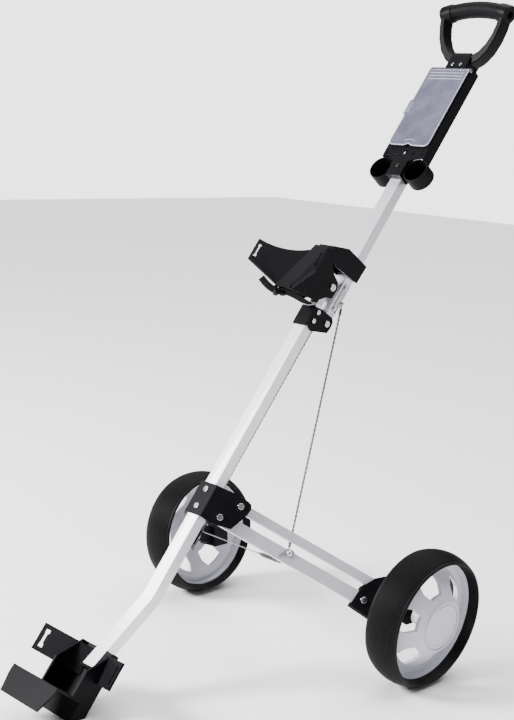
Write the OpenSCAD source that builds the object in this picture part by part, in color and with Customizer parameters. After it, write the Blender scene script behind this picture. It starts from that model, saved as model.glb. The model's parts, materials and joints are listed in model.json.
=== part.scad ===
// Folding golf push trolley: a bent square shaft with a folding handle, two
// parallelogram wheel legs, a foot bracket and an upper bracket for the bag,
// a scorecard console and a D-handle. Millimetres, +Z up, +Y toward the user.
// The origin is on the ground, midway between the wheels and under the middle
// of the trolley's length.

/* [Shaft] */
// lean of the shaft from upright, degrees
shaft_lean = 37.2; // [30:0.1:45]
// width of the square tube, side to side
tube_width = 25; // [20:0.5:32]
// depth of the square tube, front to back
tube_depth = 20; // [16:0.5:28]
// wall of the shaft tubes
tube_wall = 1.6; // [1:0.1:3]
// straight length of the lower tube above its bend
lower_length = 580; // [480:1:640]
// length of the lower tube below its bend
tip_length = 148; // [120:1:180]
// forward bend near the foot, degrees
tip_bend = 16; // [8:1:25]
// distance of the upper tube behind the lower tube
upper_offset = 32.5; // [28:0.5:40]
// lower end of the upper tube, along the shaft
upper_start = 551; // [540:1:556]
// upper end of the upper tube, along the shaft
upper_end = 1142; // [1100:1:1160]
// height of the fold pin along the shaft
pivot_s = 563.5; // [560:0.5:570]

/* [Wheels] */
// diameter of the wheel over its tyre
wheel_diameter = 236; // [220:1:260]
// width of the tyre
wheel_width = 66; // [50:1:70]
// half the distance between the hubs of the wheels
half_track = 287.5; // [250:0.5:320]
// outward lean of each wheel's top, degrees
wheel_camber = 5; // [0:1:8]
// position of the axles behind the origin
axle_y = 103.3; // [80:0.1:110]
// radius of the wheel rim
rim_radius = 103; // [90:1:110]
// diameter of the axle
axle_diameter = 12; // [8:1:14]

/* [Legs] */
// angle of each leg outward from the shaft, degrees
leg_splay = 48.5; // [40:0.5:60]
// distance between the two pivots of each bar
bar_length = 276; // [240:1:300]
// height of the lower bar
lower_bar_height = 22; // [18:0.5:26]
// height of the upper bar
upper_bar_height = 15.5; // [12:0.5:20]
// thickness of both bars
bar_depth = 12; // [8:0.5:16]
// reach of the lower inner pivot along the leg
low_pivot_e = 27.8; // [24:0.1:34]
// height of the lower inner pivot along the shaft
low_pivot_s = 169; // [160:0.5:180]
// reach of the upper inner pivot along the leg
up_pivot_e = 49.8; // [44:0.1:56]
// height of the upper inner pivot along the shaft
up_pivot_s = 202; // [195:0.5:215]
// diameter of the leg pivot pins
pin_diameter = 6; // [5:0.5:8]

/* [Bag brackets] */
// half width over the foot wings
foot_wing_reach = 100; // [80:1:120]
// height of the foot wings along the shaft
foot_wing_height = 46; // [35:1:60]
// half width over the upper wings
cradle_reach = 81; // [70:1:100]
// thickness of the moulded bracket walls
bracket_wall = 4; // [3:0.5:6]

/* [Console] */
// width of the console tray
console_width = 96; // [85:1:110]
// lower edge of the console tray along the shaft
console_start = 905; // [880:1:930]
// upper edge of the console tray along the shaft
console_end = 1122; // [1080:1:1135]
// inner diameter of the ball cups
ball_cup_diameter = 43.6; // [43:0.1:46]

/* [Handle] */
// half width of the grip
grip_half = 72; // [66:1:76]
// diameter of the grip
grip_diameter = 31; // [26:0.5:36]
// forward tilt of the handle loop from the shaft, degrees
handle_tilt = 22; // [0:1:35]
// height of the grip above the handle socket
grip_rise = 95; // [80:1:110]

/* [Hidden] */
$fn = 48;
crown_radius = 65;
// the middle of the tyre lies this far outward of the hub plane
tyre_shift = -6;
wheel_radius = wheel_diameter / 2;
axle_z = (wheel_radius - crown_radius) * cos(wheel_camber) + crown_radius
  + tyre_shift * sin(wheel_camber);
plate = 2.8;
gap = 0.4;
half_tube = tube_width / 2;
half_deep = tube_depth / 2;
// centre line of the leg plane, measured from the tube corner
crease_x = 14.4;
crease_b = -6;
// the wheel centre lies in the leg plane, at this reach and height
hub_s = 194.3;
hub_b = crease_b + (half_track - crease_x) * tan(leg_splay);
hub_e = (half_track - crease_x) / cos(leg_splay);
bend_y = axle_y - hub_b * cos(shaft_lean) - hub_s * sin(shaft_lean);
bend_z = axle_z + hub_b * sin(shaft_lean) - hub_s * cos(shaft_lean);
upper_b = upper_offset;
rear_y = bar_depth + 2 * gap;
pin_hole = pin_diameter + 0.1;
// reach of the wire pins along the lower bars, and the wires' other ends
clip_e = 159;
clip_s = 176;
stud_y = 20;
wire_diameter = 3.6;
anchor_s = 609;
anchor_b = 41;
anchor_x = 17;
// the foot's lower edge meets the ground
foot_b = -38;
foot_bottom = (bend_z - foot_b * sin(shaft_lean)) / cos(shaft_lean);
foot_top = 113;
foot_half = 41;
foot_floor = 192;
socket_s = 1118;
hinge_rivet_s = [549, 567];
knuckle_rivet_s = [169, 201];
handle_b = 34;
handle_s = 1150;

// ---- frames ----

// along the shaft: x sideways, y backward, z up the shaft from its bend
module shaft_frame() {
  translate([0, bend_y, bend_z])
    rotate([-shaft_lean, 0, 0])
      children();
}

// the right-hand piece, or its mirror image on the left
module on_side(side) {
  if (side > 0) children();
  else mirror([1, 0, 0]) children();
}

// along a leg: x outward, y to the back of the bars, z up the shaft
module leg_frame(side) {
  shaft_frame()
    on_side(side)
      translate([crease_x, crease_b, 0])
        rotate([0, 0, leg_splay])
          children();
}

// along a wheel's axle: x outward from the wheel's middle plane
module wheel_frame(side) {
  on_side(side)
    translate([half_track, axle_y, axle_z])
      rotate([0, wheel_camber, 0])
        children();
}

// along the handle loop, tilted forward from the shaft
module handle_frame() {
  shaft_frame()
    translate([0, handle_b, handle_s])
      rotate([handle_tilt, 0, 0])
        children();
}

// ---- shapes ----

// an upright plate across x, its outline drawn in the y-z plane
module side_plate(outline, x_start, thickness) {
  translate([x_start, 0, 0])
    rotate([90, 0, 90])
      linear_extrude(thickness)
        polygon(outline);
}

// a plate facing forward, its outline drawn in the x-z plane
module face_plate(outline, y_start, thickness) {
  translate([0, y_start + thickness, 0])
    rotate([90, 0, 0])
      linear_extrude(thickness)
        polygon(outline);
}

// a round bar along x
module bar_x(length, diameter) {
  rotate([0, 90, 0])
    cylinder(h = length, d = diameter, center = true);
}

// a round bar along y, from y_start
module bar_y(y_start, length, diameter) {
  translate([0, y_start, 0])
    rotate([-90, 0, 0])
      cylinder(h = length, d = diameter);
}

// a square shaft tube standing on z = 0, hollow
module square_tube(length) {
  difference() {
    translate([-half_tube, -half_deep, 0])
      cube([tube_width, tube_depth, length]);
    translate([-half_tube + tube_wall, -half_deep + tube_wall, -1])
      cube([tube_width - 2 * tube_wall, tube_depth - 2 * tube_wall, length + 2]);
  }
}

// a domed rivet head whose shank runs along y, head toward -y
module rivet_y(head, shank, length) {
  bar_y(-2, 2, head);
  bar_y(-0.5, length + 0.5, shank);
}

// the value a given share of the way from a to b
function mix(a, b, t) = a + (b - a) * t;

// ---- lower shaft ----

// side outline of the bent tube at a given distance from its centre line
function bent_outline(half, top, tip) = [
  [half, top], [-half, top], [-half, half * tan(tip_bend / 2)],
  tip * [-sin(tip_bend), -cos(tip_bend)] - half * [cos(tip_bend), -sin(tip_bend)],
  tip * [-sin(tip_bend), -cos(tip_bend)] + half * [cos(tip_bend), -sin(tip_bend)],
  [half, -half * tan(tip_bend / 2)]
];

module lower_tube() {
  color("silver") shaft_frame()
    difference() {
      side_plate(bent_outline(half_deep, lower_length, tip_length),
        -half_tube, tube_width);
      side_plate(bent_outline(half_deep - tube_wall, lower_length + 1,
        tip_length + 1), -half_tube + tube_wall, tube_width - 2 * tube_wall);
      for (s = hinge_rivet_s)
        translate([0, 0, s])
          bar_x(tube_width + 2, 5);
      for (s = knuckle_rivet_s)
        translate([0, 0, s])
          bar_y(-half_deep - 1, tube_depth + 2, 5);
    }
}

// ---- foot bracket ----

module foot_body() {
  cup_front = -84;
  cup_top = 150;
  skirt_b = -64;
  skirt_bottom = (bend_z - (skirt_b + bracket_wall) * sin(shaft_lean)) / cos(shaft_lean);
  cheek = [
    [foot_b, -foot_top + 6], [foot_b - 12, -foot_top + 6], [cup_front, -cup_top],
    [cup_front, -foot_floor - bracket_wall], [skirt_b, -foot_floor - bracket_wall],
    [skirt_b, -skirt_bottom], [foot_b, -foot_bottom]
  ];
  color("#202024") shaft_frame()
    difference() {
      union() {
        // back wall with its rounded lower corners
        face_plate([
          [-foot_half, -foot_top + 6], [foot_half, -foot_top + 6],
          [foot_half, -foot_bottom + 9], [foot_half - 3, -foot_bottom + 2.5],
          [foot_half - 9, -foot_bottom], [-foot_half + 9, -foot_bottom],
          [-foot_half + 3, -foot_bottom + 2.5], [-foot_half, -foot_bottom + 9]
        ], foot_b - bracket_wall, bracket_wall);
        // cheeks and floor of the cup
        for (side = [-1, 1])
          side_plate(cheek, side > 0 ? foot_half - bracket_wall : -foot_half,
            bracket_wall);
        translate([-foot_half, cup_front, -foot_floor - bracket_wall])
          cube([2 * foot_half, foot_b - cup_front, bracket_wall]);
        // skirt under the floor, down to the ground
        face_plate([[-foot_half, -foot_floor], [foot_half, -foot_floor],
          [foot_half, -skirt_bottom + 6], [foot_half - 6, -skirt_bottom],
          [-foot_half + 6, -skirt_bottom], [-foot_half, -skirt_bottom + 6]],
          skirt_b, bracket_wall);
        // saddle behind the end of the tube
        rotate([180 - tip_bend, 0, 0])
          translate([-half_tube - 4, -half_deep - 4, foot_top])
            cube([tube_width + 8, tube_depth + 3, tip_length - foot_top + 4]);
      }
      rotate([180 - tip_bend, 0, 0])
        translate([-half_tube, -half_deep, 90])
          cube([tube_width, tube_depth + 10, tip_length - 90]);
    }
}

module foot_toe() {
  color("#202024") shaft_frame() {
    // floor running forward from the cup
    translate([0, 0, -foot_floor - bracket_wall])
      linear_extrude(bracket_wall)
        polygon([[-foot_half, -84], [foot_half, -84], [56, -133.5], [-56, -133.5]]);
    // turned-down lip
    translate([0, -131, -foot_floor])
      rotate([-8, 0, 0])
        face_plate([[-58, 0], [58, 0], [57, -14], [48, -45], [-48, -45],
          [-57, -14]], -bracket_wall, bracket_wall);
  }
}

module foot_wing(side) {
  root = [12.8, 44];
  tip = [foot_wing_reach, 83.5];
  slope = atan2(tip[1] - root[1], tip[0] - root[0]);
  reach = norm(tip - root);
  color("#202024") shaft_frame() on_side(side)
    translate([root[0], -root[1], -foot_top])
      rotate([0, 0, -slope])
        difference() {
          translate([0, 0, -foot_wing_height])
            cube([reach, bracket_wall, foot_wing_height]);
          // slot for the bag strap, wider at its ends
          translate([reach - 13, -1, -foot_wing_height + 8])
            cube([5.5, bracket_wall + 2, foot_wing_height - 16]);
          for (z = [8, foot_wing_height - 14])
            translate([reach - 15.5, -1, z - foot_wing_height])
              cube([9, bracket_wall + 2, 6]);
        }
}

module foot_wing_right() {
  foot_wing(1);
}

module foot_wing_left() {
  foot_wing(-1);
}

module foot_screws() {
  color("silver") shaft_frame()
    for (s = [122, 138], side = [-1, 1])
      rotate([180 - tip_bend, 0, 0])
        translate([side * (half_tube + 5), -7, s])
          bar_x(2, 7);
}

// ---- knuckle ----

flare_outline = [
  [19, 152.5], [53, 161], [65.5, 193], [67, 207], [63, 213.5], [56, 215.5], [30, 216]
];
// the front flares stand off the bars by this much, on the pins' shoulders
flare_offset = 5;

// one flare of the knuckle, bored for the two leg pins
module flare(inner_e, y_start) {
  difference() {
    face_plate(concat([[inner_e, 155]], flare_outline, [[inner_e, 213]]), y_start, plate);
    for (p = [[low_pivot_e, low_pivot_s], [up_pivot_e, up_pivot_s]])
      translate([p[0], y_start - 1, p[1]])
        bar_y(0, plate + 2, pin_hole);
  }
}

module knuckle_front() {
  half = 18.9;
  color("#1c1c20") {
    for (side = [-1, 1])
      leg_frame(side)
        flare(-1.5, -gap - plate - flare_offset);
    shaft_frame()
      difference() {
        face_plate([[-half, 154.6], [half, 154.6], [half, 213.4], [-half, 213.4]],
          -half_deep - plate, plate);
        for (s = knuckle_rivet_s)
          translate([0, 0, s])
            bar_y(-half_deep - plate - 1, plate + 2, 5);
      }
  }
}

module knuckle_rear() {
  half = 13;
  color("#1c1c20") {
    for (side = [-1, 1])
      leg_frame(side)
        flare(12.6, rear_y);
    shaft_frame()
      difference() {
        face_plate([[-half, 154.6], [half, 154.6], [half, 213.4], [-half, 213.4]],
          half_deep, plate);
        for (s = knuckle_rivet_s)
          translate([0, 0, s])
            bar_y(half_deep - 1, plate + 2, 5);
      }
  }
}

module knuckle_rivets() {
  color("white") shaft_frame()
    for (s = knuckle_rivet_s)
      translate([0, -half_deep - plate, s]) {
        rivet_y(10, 5, tube_depth + 2 * plate);
        bar_y(tube_depth + 2 * plate, 2, 8);
      }
}

module leg_pins(side) {
  color("white") leg_frame(side)
    for (p = [[low_pivot_e, low_pivot_s], [up_pivot_e, up_pivot_s]])
      translate([p[0], -flare_offset - gap - plate, p[1]]) {
        rivet_y(11, pin_diameter, flare_offset + gap + rear_y + 2 * plate);
        // shoulder between the front plate and the bar
        bar_y(plate, flare_offset, 10);
        bar_y(flare_offset + gap + rear_y + 2 * plate, 2, 9);
      }
}

module leg_pins_right() {
  leg_pins(1);
}

module leg_pins_left() {
  leg_pins(-1);
}

// ---- fold hinge ----

module hinge_bracket() {
  cheek = [
    [-half_deep - 2.6, 571], [9, 577], [36, 579], [43.5, 575], [45.5, 563.5],
    [43.5, 551], [34, 546], [7, 532], [-half_deep - 2.6, 538]
  ];
  color("#1c1c20") shaft_frame()
    difference() {
      union() {
        side_plate(cheek, half_tube + 0.4, plate);
        side_plate(cheek, -half_tube - 0.4 - plate, plate);
        // front flange over the lower tube
        face_plate([[-half_tube - 3, 532], [half_tube + 3, 532],
          [half_tube + 3, 571], [-half_tube - 3, 571]],
          -half_deep - 2.6, 2.6);
      }
      for (s = hinge_rivet_s)
        translate([0, 0, s])
          bar_x(tube_width + 20, 5);
      translate([0, upper_b, pivot_s])
        bar_x(tube_width + 20, 8.1);
    }
}

module hinge_rivets() {
  color("white") shaft_frame()
    for (s = hinge_rivet_s)
      translate([0, 0, s]) {
        bar_x(tube_width + 7, 5);
        for (side = [-1, 1])
          translate([side * (half_tube + plate + 1.4), 0, 0])
            bar_x(2, 9);
      }
}

module fold_pin() {
  color("white") shaft_frame()
    translate([0, upper_b, pivot_s]) {
      bar_x(tube_width + 7, 8);
      for (side = [-1, 1])
        translate([side * (half_tube + plate + 1.4), 0, 0])
          bar_x(2, 12);
    }
}

// ---- upper bag bracket ----

yoke_outline = [
  [-92, 557], [-65, 638], [-56, 668], [-33, 656], [-14, 640], [6, 634],
  [13, 622], [12, 604], [-2, 597], [-20, 578]
];

module cradle_link() {
  color("gray") shaft_frame()
    difference() {
      translate([-9, -7, 530])
        cube([18, 14, 101]);
      for (s = hinge_rivet_s)
        translate([0, 0, s])
          bar_x(30, 5);
      translate([0, 0, 619.5])
        bar_x(30, 8.1);
    }
}

module cradle_yoke() {
  inner = half_tube + 0.5;
  color("#202024") shaft_frame()
    difference() {
      union() {
        side_plate(yoke_outline, inner, 3.5);
        side_plate(yoke_outline, -inner - 3.5, 3.5);
        // wall across the front of the two cheeks
        side_plate([[-92, 557], [-65, 638], [-56, 668], [-52, 666],
          [-61, 637], [-88, 558]], -inner, 2 * inner);
      }
      translate([0, 0, 619.5])
        bar_x(tube_width + 20, 8.1);
    }
}

module cradle_wing(side) {
  corners = [
    [18.7, -89, 562], [18.7, -60, 652], [cradle_reach - 2, -119, 586],
    [cradle_reach - 2, -119, 627]
  ];
  color("#202024") shaft_frame() on_side(side)
    difference() {
      hull()
        for (c = corners)
          translate(c)
            rotate([-90, 0, 0])
              cylinder(h = bracket_wall, d = 4, $fn = 16);
      // hollow of the upper edge
      translate([69.8, -150, 689.3])
        bar_y(0, 110, 2 * 63);
      // slot for the bag strap, wider at its ends
      translate([cradle_reach - 9, -119, 606.5])
        rotate([0, 0, -30]) {
          translate([-2.2, -6, -13])
            cube([4.4, 20, 26]);
          for (z = [-13, 8])
            translate([-3.6, -6, z])
              cube([7.2, 20, 5]);
        }
    }
}

module cradle_wing_right() {
  cradle_wing(1);
}

module cradle_wing_left() {
  cradle_wing(-1);
}

module cradle_bolt() {
  color("white") shaft_frame()
    translate([0, 0, 619.5]) {
      bar_x(tube_width + 9, 8);
      for (side = [-1, 1])
        translate([side * (half_tube + 5.4), 0, 0])
          bar_x(2.6, 13);
    }
}

module tube_clip() {
  inner = half_tube + 0.5;
  jaw = [[-33, 656.5], [-14, 652], [8, 656], [48, 661], [50, 698], [-10, 695],
    [-46, 676], [-50, 665.5]];
  color("#1c1c20") shaft_frame() {
    side_plate(jaw, inner, 3.5);
    side_plate(jaw, -inner - 3.5, 3.5);
    // roof over the two jaws
    side_plate([[-46, 676], [-10, 695], [14, 696], [14, 692], [-9, 691],
      [-44, 672.5]], -inner, 2 * inner);
    // seat against the front of the upper tube
    translate([-inner, 17.5, 661])
      cube([2 * inner, 4.4, 35.5]);
  }
}

strap_path = [[2, -13.5, 573], [0, -28, 569], [-5, -52, 565.5], [-10, -70, 560],
  [-15, -86, 551], [-21, -102, 550], [-27, -118, 554]];

module bag_strap() {
  color("#1a1a1e") shaft_frame()
    for (i = [0 : len(strap_path) - 2])
      hull()
        for (p = [strap_path[i], strap_path[i + 1]])
          translate(p)
            cube([12, 2, 2], center = true);
}

module strap_buckle() {
  color("#101014") shaft_frame()
    translate([-13, -79.5, 554])
      rotate([29, 0, -17])
        difference() {
          cube([17, 20, 6], center = true);
          cube([12.6, 22, 2.6], center = true);
          for (y = [-4.5, 4.5])
            translate([0, y, 0])
              cube([12.6, 5, 8], center = true);
        }
}

// ---- upper shaft ----

module upper_tube() {
  color("silver") shaft_frame()
    difference() {
      translate([0, upper_b, upper_start])
        square_tube(upper_end - upper_start);
      translate([0, upper_b, pivot_s])
        bar_x(tube_width + 2, 8.1);
    }
}

module wire_anchor(side) {
  color("dimgray") shaft_frame() on_side(side) {
    // plate held by two screws
    translate([half_tube, anchor_b - 13, 590])
      cube([1.6, 12, 55]);
    // eye that the pull wire hooks into
    translate([half_tube, anchor_b - 5, anchor_s - 5])
      cube([1.6, 9, 12]);
    translate([half_tube, anchor_b, anchor_s + 3])
      rotate([0, 90, 0])
        cylinder(h = 6.5, d = 3.4);
  }
}

module wire_anchor_right() {
  wire_anchor(1);
}

module wire_anchor_left() {
  wire_anchor(-1);
}

module anchor_screws() {
  color("white") shaft_frame()
    for (side = [-1, 1], s = [596, 639])
      translate([side * (half_tube + 2.6), upper_b, s])
        bar_x(2, 8);
}

// ---- console ----

tray_front = 9.5;
tray_back = 33;
cup_s = 889;
cup_x = 40;
cup_front = 13.5;
cup_depth = 30;
cup_wall = 2.2;

module console_tray() {
  half = console_width / 2;
  color("#222226") shaft_frame()
    difference() {
      union() {
        // front panel, running down between the cups
        translate([-half, tray_front, console_start])
          cube([console_width, 3.5, console_end - console_start]);
        translate([-15, tray_front + 4, 872])
          cube([30, 3.5, console_start - 871]);
        translate([-15, tray_front + 4, console_start - 0.5])
          cube([30, 9, 8]);
        // side and end walls
        for (side = [-1, 1])
          translate([side > 0 ? half - 3 : -half, tray_front, console_start])
            cube([3, tray_back - tray_front, console_end - console_start]);
        for (s = [console_start, console_end - 3])
          translate([-half, tray_front, s])
            cube([console_width, tray_back - tray_front, 3]);
        // saddle on the tube
        translate([-17, tray_front, 872])
          cube([34, upper_b + 6 - tray_front, 40]);
        translate([-17, tray_front, console_end - 40])
          cube([34, upper_b + 6 - tray_front, 40]);
      }
      translate([-half_tube, upper_b - half_deep, 860])
        cube([tube_width, 40, 300]);
      // cup openings pass the panel
      for (side = [-1, 1])
        translate([side * cup_x, 0, cup_s])
          bar_y(0, 60, ball_cup_diameter + 2 * cup_wall + 0.2);
      // card well under the lid
      translate([-half + 5, tray_front - 1, 936])
        cube([console_width - 10, 2.6, 172]);
      // tee holes and pencil hole
      for (x = [-41, -21, 21, 41])
        translate([x, 0, 920])
          bar_y(0, 60, 4.4);
      translate([0, 0, 924])
        bar_y(0, 16, 9);
      // screw holes
      for (s = [893, 1090])
        translate([0, 0, s])
          bar_y(0, 30, 4.2);
      // notch for the lid barrel
      translate([-half - 1, tray_front - 4, 1110.5])
        cube([console_width + 2, 7.6, 8]);
    }
}

module console_screws() {
  color("dimgray") shaft_frame()
    for (screw = [[tray_front, 893], [tray_front + 1.6, 1090]])
      translate([0, screw[0], screw[1]])
        rivet_y(8, 4, upper_b - half_deep - screw[0] - 0.2);
}

module ball_cup(side) {
  outer = ball_cup_diameter + 2 * cup_wall;
  color("#141418") shaft_frame()
    translate([side * cup_x, 0, cup_s])
      difference() {
        bar_y(cup_front, cup_depth, outer);
        bar_y(cup_front - 1, cup_depth - cup_wall + 1, ball_cup_diameter);
      }
}

module ball_cup_right() {
  ball_cup(1);
}

module ball_cup_left() {
  ball_cup(-1);
}

lid_pin_s = 1114.5;
lid_pin_b = 8.6;
lid_half = 45;

module lid_pin() {
  color("silver") shaft_frame() {
    translate([0, lid_pin_b, lid_pin_s])
      bar_x(console_width - 1, 3);
    for (side = [-1, 1])
      translate([side * (console_width / 2 - 1.2), lid_pin_b + 2.2, lid_pin_s])
        cube([2.4, 9, 5], center = true);
  }
}

module card_lid() {
  color("lightsteelblue", 0.6) shaft_frame()
    difference() {
      union() {
        translate([-lid_half, lid_pin_b - 2.6, 937])
          cube([2 * lid_half, 2, lid_pin_s - 937]);
        translate([0, lid_pin_b, lid_pin_s])
          bar_x(2 * lid_half, 6);
        // finger tab on the left edge
        translate([-lid_half - 5, lid_pin_b - 2.6, 1005])
          cube([6, 2, 34]);
      }
      translate([0, lid_pin_b, lid_pin_s])
        bar_x(2 * lid_half + 2, 3.12);
      // snap notch in the lower edge
      translate([0, 0, 935])
        bar_y(0, 20, 9);
    }
}

// ---- handle ----

module handle_socket() {
  color("#18181c") shaft_frame()
    difference() {
      union() {
        translate([-23, upper_b - 17, socket_s + 5])
          cube([46, 34, handle_s - socket_s - 5 + 4]);
        side_plate([[upper_b - 17, handle_s + 3], [upper_b + 17, handle_s + 3],
          [upper_b + 9, handle_s + 13], [upper_b - 16, handle_s + 13]],
          -20, 40);
      }
      translate([-half_tube, upper_b - half_deep, socket_s])
        cube([tube_width, tube_depth, upper_end - socket_s]);
    }
}

// outer and inner outlines of one arm of the handle loop
arm_outer = [[21, -6], [38, 4], [54, 22], [65, 46], [71, 70], [73, 94]];
arm_inner = [[62, 96], [60, 74], [55, 54], [46, 36], [33, 21], [16, 12]];

module handle_arm(side) {
  color("#18181c") handle_frame() on_side(side)
    face_plate(concat(arm_outer, arm_inner), -14, 28);
}

module handle_arm_right() {
  handle_arm(1);
}

module handle_arm_left() {
  handle_arm(-1);
}

module handle_grip() {
  bow_radius = 250;
  grip_bow = 11;
  half_angle = asin(grip_half / bow_radius);
  color("#18181c") handle_frame()
    translate([0, 0, grip_rise + grip_bow - bow_radius])
      rotate([90, 0, 0])
        rotate([0, 0, 90 - half_angle])
          rotate_extrude(angle = 2 * half_angle, $fn = 180)
            translate([bow_radius, 0])
              circle(d = grip_diameter, $fn = 32);
}

module socket_screws() {
  color("white") shaft_frame()
    for (x = [-9, 9])
      translate([x, upper_b - 19, socket_s + 16])
        bar_y(0, 2, 7);
}

// ---- legs ----

module bar_tube(inner_e, s, length, height, overhang) {
  wall = 1.4;
  difference() {
    translate([inner_e - overhang, gap, s - height / 2])
      cube([length + 2 * overhang, bar_depth, height]);
    translate([inner_e - overhang - 1, gap + wall, s - height / 2 + wall])
      cube([length + 2 * overhang + 2, bar_depth - 2 * wall, height - 2 * wall]);
    for (e = [inner_e, inner_e + length])
      translate([e, 0, s])
        bar_y(-1, bar_depth + 4, pin_hole);
  }
}

module lower_bar(side) {
  color("silver") leg_frame(side)
    difference() {
      bar_tube(low_pivot_e, low_pivot_s, bar_length, lower_bar_height, 10);
      translate([clip_e, 0, clip_s])
        bar_y(-1, bar_depth + 4, 4.9);
    }
}

module lower_bar_right() {
  lower_bar(1);
}

module lower_bar_left() {
  lower_bar(-1);
}

module upper_bar(side) {
  color("silver") leg_frame(side)
    bar_tube(up_pivot_e, up_pivot_s, bar_length, upper_bar_height, 8);
}

module upper_bar_right() {
  upper_bar(1);
}

module upper_bar_left() {
  upper_bar(-1);
}

module wire_stud(side) {
  color("white") leg_frame(side)
    translate([clip_e, gap - 1.6, clip_s]) {
      bar_y(0, 1.6, 8);
      bar_y(0, stud_y + 3.4, 4.8);
      bar_y(stud_y + 3.4, 1.6, 7.5);
    }
}

module wire_stud_right() {
  wire_stud(1);
}

module wire_stud_left() {
  wire_stud(-1);
}

outer_low_e = low_pivot_e + bar_length;
outer_up_e = up_pivot_e + bar_length;

module axle_bracket(side) {
  cheek = [
    [outer_low_e - 17, 150], [outer_up_e + 14, 146], [outer_up_e + 22, 160],
    [outer_up_e + 22, 214], [outer_up_e + 12, 222], [outer_up_e - 8, 222],
    [outer_up_e - 20, 212], [outer_low_e - 13, 188]
  ];
  color("#18181c") leg_frame(side)
    difference() {
      union() {
        face_plate(cheek, -3.2, 3.2);
        face_plate(cheek, rear_y, 3.2);
        // web closing the outer end
        translate([outer_up_e + 12, -3.2, 150])
          cube([10, rear_y + 6.4, 66]);
      }
      for (p = [[outer_low_e, low_pivot_s], [outer_up_e, up_pivot_s]])
        translate([p[0], 0, p[1]])
          bar_y(-5, 40, pin_hole);
    }
  // arm out to the block that holds the inner end of the axle
  color("#18181c")
    difference() {
      union() {
        hull() {
          leg_frame(side)
            translate([outer_up_e + 13, -2.4, 168])
              cube([8, rear_y + 4.4, 42]);
          wheel_frame(side)
            translate([-54, -14, -16])
              cube([20, 28, 34]);
        }
        wheel_frame(side)
          translate([-68, -16, -18])
            cube([42, 34, 38]);
      }
      wheel_frame(side)
        translate([-40, 0, 0])
          bar_x(50, axle_diameter);
    }
}

module axle_bracket_right() {
  axle_bracket(1);
}

module axle_bracket_left() {
  axle_bracket(-1);
}

module bracket_pins(side) {
  color("white") leg_frame(side)
    for (p = [[outer_low_e, low_pivot_s], [outer_up_e, up_pivot_s]])
      translate([p[0], -3.2, p[1]]) {
        rivet_y(11, pin_diameter, rear_y + 6.4);
        bar_y(rear_y + 6.4, 2, 9);
      }
}

module bracket_pins_right() {
  bracket_pins(1);
}

module bracket_pins_left() {
  bracket_pins(-1);
}

// ---- wheels ----

hub_inner = -20;
hub_outer = 32;
rim_gap = 0.05;

module axle(side) {
  inner_end = -56;
  outer_end = hub_outer - 1;
  color("silver") wheel_frame(side)
    translate([(outer_end + inner_end) / 2, 0, 0])
      bar_x(outer_end - inner_end, axle_diameter);
}

module axle_right() {
  axle(1);
}

module axle_left() {
  axle(-1);
}

// points along an arc
function arc(r, from, to, steps) =
  [for (i = [0 : steps]) r * [cos(mix(from, to, i / steps)), sin(mix(from, to, i / steps))]];

window_count = 6;
// turn of the windows about the axle, right-hand wheel and left-hand wheel
window_turn = [15, 32];

// one window through the dome, its narrow end toward the hub
window_outline = concat(
  arc(54, 13, -13, 3), [68.5 * [cos(-17), sin(-17)]],
  arc(82, -13, 13, 5), [68.5 * [cos(17), sin(17)]]
);

// half section of the rim, radius against width: outer band, channel and dome
rim_section = [
  [axle_diameter / 2 + rim_gap, hub_inner], [15, hub_inner], [17, 22], [38, 27],
  [47, 23.5], [57, 16.5], [67, 9], [77, 1], [84, -7], [91, -11.5], [99.5, -8],
  [99.5, -22], [rim_radius, -22], [rim_radius, 8.5], [100.5, 8.5], [97, -3],
  [91, -7], [86, -3], [80, 4.5], [70, 13], [60, 20.5], [50, 28], [44.5, 32],
  [44, 34.6], [41, 34.6], [40.6, hub_outer], [axle_diameter / 2 + rim_gap, hub_outer]
];

module rim(side) {
  color("lavender") wheel_frame(side)
    rotate([0, 90, 0])
      difference() {
        rotate_extrude($fn = 96)
          polygon(rim_section);
        for (i = [0 : window_count - 1])
          rotate([0, 0, i * 360 / window_count + window_turn[side > 0 ? 0 : 1]])
            translate([0, 0, -30])
              linear_extrude(60)
                polygon(window_outline);
      }
}

module rim_right() {
  rim(1);
}

module rim_left() {
  rim(-1);
}

// half section of the tyre: crown arc between two rounded shoulders
shoulder = 5;
crown_half = asin((wheel_width / 2 - shoulder) / (crown_radius - shoulder));
tyre_section = concat(
  [for (a = [-crown_half : crown_half / 5 : crown_half])
    [wheel_radius - crown_radius + crown_radius * cos(a), crown_radius * sin(a)]],
  [[wheel_radius - 9, wheel_width / 2], [wheel_radius - 11.5, wheel_width / 2 - 0.4],
    [rim_radius, 15], [rim_radius, -15],
    [wheel_radius - 11.5, 0.4 - wheel_width / 2], [wheel_radius - 9, -wheel_width / 2]]
);

module tyre(side) {
  color("#151515") wheel_frame(side)
    translate([tyre_shift, 0, 0])
      rotate([0, 90, 0])
        rotate_extrude($fn = 120)
          polygon(tyre_section);
}

module tyre_right() {
  tyre(1);
}

module tyre_left() {
  tyre(-1);
}

module hub_cap(side) {
  color("lavender") wheel_frame(side)
    translate([hub_outer, 0, 0])
      rotate([0, 90, 0])
        cylinder(h = 1.8, d = 80);
}

module hub_cap_right() {
  hub_cap(1);
}

module hub_cap_left() {
  hub_cap(-1);
}

// ---- wires ----

// a straight round bar between two points
module rod(from, to, diameter) {
  span = to - from;
  translate(from)
    rotate([0, acos(span[2] / norm(span)), atan2(span[1], span[0])])
      cylinder(h = norm(span), d = diameter, $fn = 16);
}

// the groove of the wire stud in shaft coordinates, right-hand side
stud_x = crease_x + clip_e * cos(leg_splay) - stud_y * sin(leg_splay);
stud_b = crease_b + clip_e * sin(leg_splay) + stud_y * cos(leg_splay);

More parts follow.
